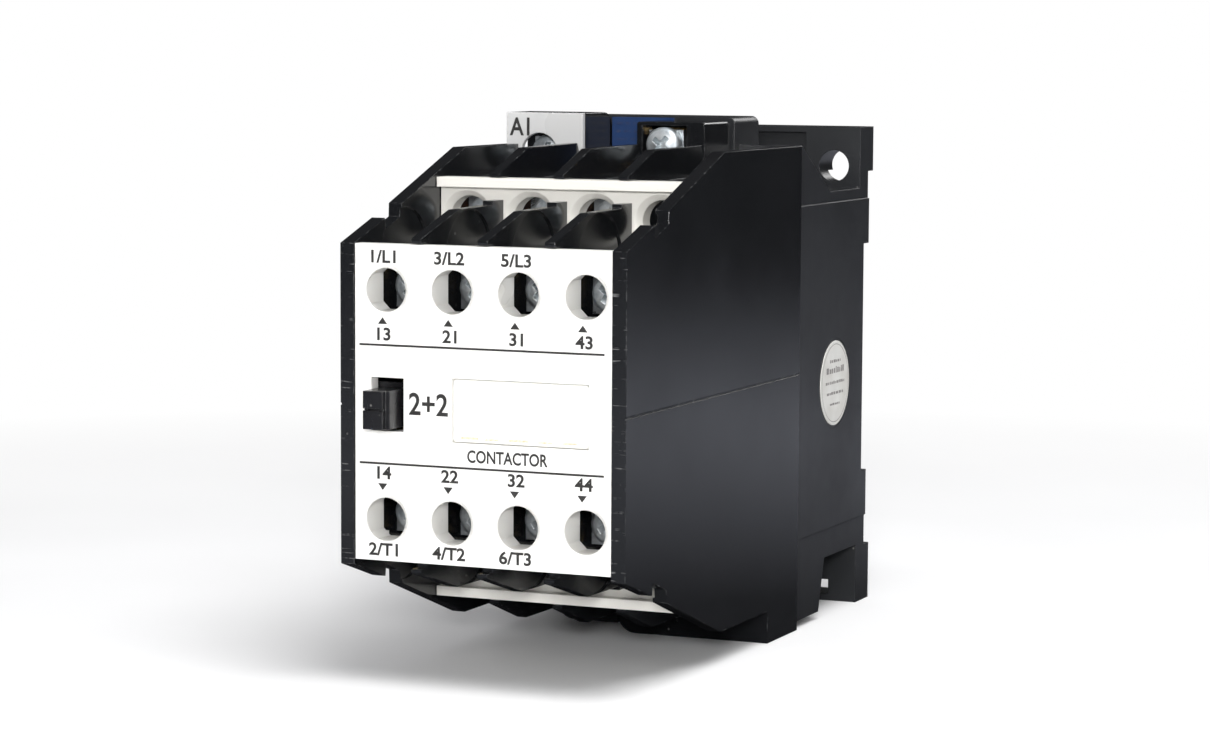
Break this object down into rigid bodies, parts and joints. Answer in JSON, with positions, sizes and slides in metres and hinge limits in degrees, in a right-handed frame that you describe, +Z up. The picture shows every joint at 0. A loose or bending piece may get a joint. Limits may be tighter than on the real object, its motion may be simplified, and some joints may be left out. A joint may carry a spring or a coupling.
{
  "type": "control contactor",
  "caption": "Compact rail-mount control contactor: black two-tier housing, white terminal covers, spring-return contact carrier with coil, sprung rail latch.",
  "frame": {"origin": "middle of the rail face, on the floor of the rail recess", "axes": "+Y out of the rear towards the wall, +Z up, +X to the right seen from the front"},
  "size_m": [0.045, 0.1108, 0.0825],
  "materials": {
    "base_plastic": "dark grey-black moulded plastic with a fine matt texture",
    "housing_plastic": "glossy black moulded plastic",
    "cover_plastic": "warm white smooth plastic",
    "plate_plastic": "plain white marking plate, smooth",
    "tier_plastic": "creamy white plastic",
    "carrier_plastic": "black moulded plastic, satin",
    "core_iron": "stacked sheet iron with ground pole faces",
    "zinc_steel": "bright zinc plating",
    "copper": "bare copper",
    "contact_brass": "bare brass",
    "damper_rubber": "soft black rubber",
    "bobbin_plastic": "natural glass-filled nylon",
    "terminal_cover_plastic": "light grey, slightly clear plastic",
    "label_blue": "blue printed label",
    "label_paper": "off-white paper label",
    "spring_steel": "drawn spring steel wire"
  },
  "bodies": {
    "housing": {"base_housing": "base_plastic", "front_housing": "housing_plastic", "coil_block_a1": "housing_plastic", "coil_block_a2": "housing_plastic", "front_cover": "cover_plastic", "marking_plate": "plate_plastic", "upper_tier_cover": "tier_plastic", "lower_tier_cover": "tier_plastic", "fixed_core": "core_iron", "main_screws": "zinc_steel", "main_clamps": "zinc_steel", "aux_screws": "zinc_steel", "aux_clamps": "zinc_steel", "housing_screws": "zinc_steel", "coil_screws": "zinc_steel", "coil_clamps": "zinc_steel", "shading_rings": "copper", "coil_winding": "copper", "coil_leads": "copper", "line_strip_1": "copper", "line_strip_2": "copper", "line_strip_3": "copper", "load_strip_1": "copper", "load_strip_2": "copper", "load_strip_3": "copper", "coil_terminal_a1": "contact_brass", "coil_terminal_a2": "contact_brass", "upper_aux_strip_1": "contact_brass", "upper_aux_strip_2": "contact_brass", "upper_aux_strip_3": "contact_brass", "upper_aux_strip_4": "contact_brass", "lower_aux_strip_1": "contact_brass", "lower_aux_strip_2": "contact_brass", "lower_aux_strip_3": "contact_brass", "lower_aux_strip_4": "contact_brass", "core_damper": "damper_rubber", "coil_bobbin": "bobbin_plastic", "a1_cover": "terminal_cover_plastic", "coil_label": "label_blue", "side_label": "label_paper", "return_springs": "spring_steel", "latch_spring": "spring_steel"},
    "carrier": {"contact_carrier": "carrier_plastic", "armature": "core_iron", "armature_pin": "zinc_steel", "main_spring_1": "spring_steel", "main_spring_2": "spring_steel", "main_spring_3": "spring_steel", "aux_spring_1": "spring_steel", "aux_spring_2": "spring_steel", "aux_spring_3": "spring_steel", "aux_spring_4": "spring_steel"},
    "latch": {"rail_latch": "carrier_plastic"},
    "main_bridge_1": {"main_bridge_1": "copper"},
    "main_bridge_2": {"main_bridge_2": "copper"},
    "main_bridge_3": {"main_bridge_3": "copper"},
    "aux_bridge_1": {"aux_bridge_1": "contact_brass"},
    "aux_bridge_2": {"aux_bridge_2": "contact_brass"},
    "aux_bridge_3": {"aux_bridge_3": "contact_brass"},
    "aux_bridge_4": {"aux_bridge_4": "contact_brass"}
  },
  "joints": [
    {"name": "carrier_slide", "type": "slide", "parent": "housing", "child": "carrier", "axis": [0, 1, 0], "range_m": [0, 0.0055], "stiffness_N_per_m": 700, "springref_m": -0.004, "deforming": ["return_springs"]},
    {"name": "main_bridge_1_lag", "type": "slide", "parent": "carrier", "child": "main_bridge_1", "axis": [0, -1, 0], "range_m": [0, 0.0021], "deforming": ["main_spring_1"]},
    {"name": "main_bridge_2_lag", "type": "slide", "parent": "carrier", "child": "main_bridge_2", "axis": [0, -1, 0], "range_m": [0, 0.0021], "deforming": ["main_spring_2"]},
    {"name": "main_bridge_3_lag", "type": "slide", "parent": "carrier", "child": "main_bridge_3", "axis": [0, -1, 0], "range_m": [0, 0.0021], "deforming": ["main_spring_3"]},
    {"name": "aux_bridge_1_lag", "type": "slide", "parent": "carrier", "child": "aux_bridge_1", "axis": [0, -1, 0], "range_m": [0, 0.0021], "deforming": ["aux_spring_1"]},
    {"name": "aux_bridge_4_lag", "type": "slide", "parent": "carrier", "child": "aux_bridge_4", "axis": [0, -1, 0], "range_m": [0, 0.0021], "deforming": ["aux_spring_4"]},
    {"name": "aux_bridge_2_lag", "type": "slide", "parent": "carrier", "child": "aux_bridge_2", "axis": [0, -1, 0], "range_m": [0, 0.0016], "deforming": ["aux_spring_2"]},
    {"name": "aux_bridge_3_lag", "type": "slide", "parent": "carrier", "child": "aux_bridge_3", "axis": [0, -1, 0], "range_m": [0, 0.0016], "deforming": ["aux_spring_3"]},
    {"name": "rail_latch_slide", "type": "slide", "parent": "housing", "child": "latch", "axis": [0, 0, -1], "range_m": [0, 0.0032], "stiffness_N_per_m": 900, "springref_m": -0.003, "deforming": ["latch_spring"]}
  ],
  "couplings": [
    {"joint": "main_bridge_1_lag", "follows": "carrier_slide", "ratio": 0.36364},
    {"joint": "main_bridge_2_lag", "follows": "carrier_slide", "ratio": 0.36364},
    {"joint": "main_bridge_3_lag", "follows": "carrier_slide", "ratio": 0.36364},
    {"joint": "aux_bridge_1_lag", "follows": "carrier_slide", "ratio": 0.36364},
    {"joint": "aux_bridge_4_lag", "follows": "carrier_slide", "ratio": 0.36364},
    {"joint": "aux_bridge_2_lag", "follows": "carrier_slide", "ratio": 0.27273},
    {"joint": "aux_bridge_3_lag", "follows": "carrier_slide", "ratio": 0.27273}
  ]
}
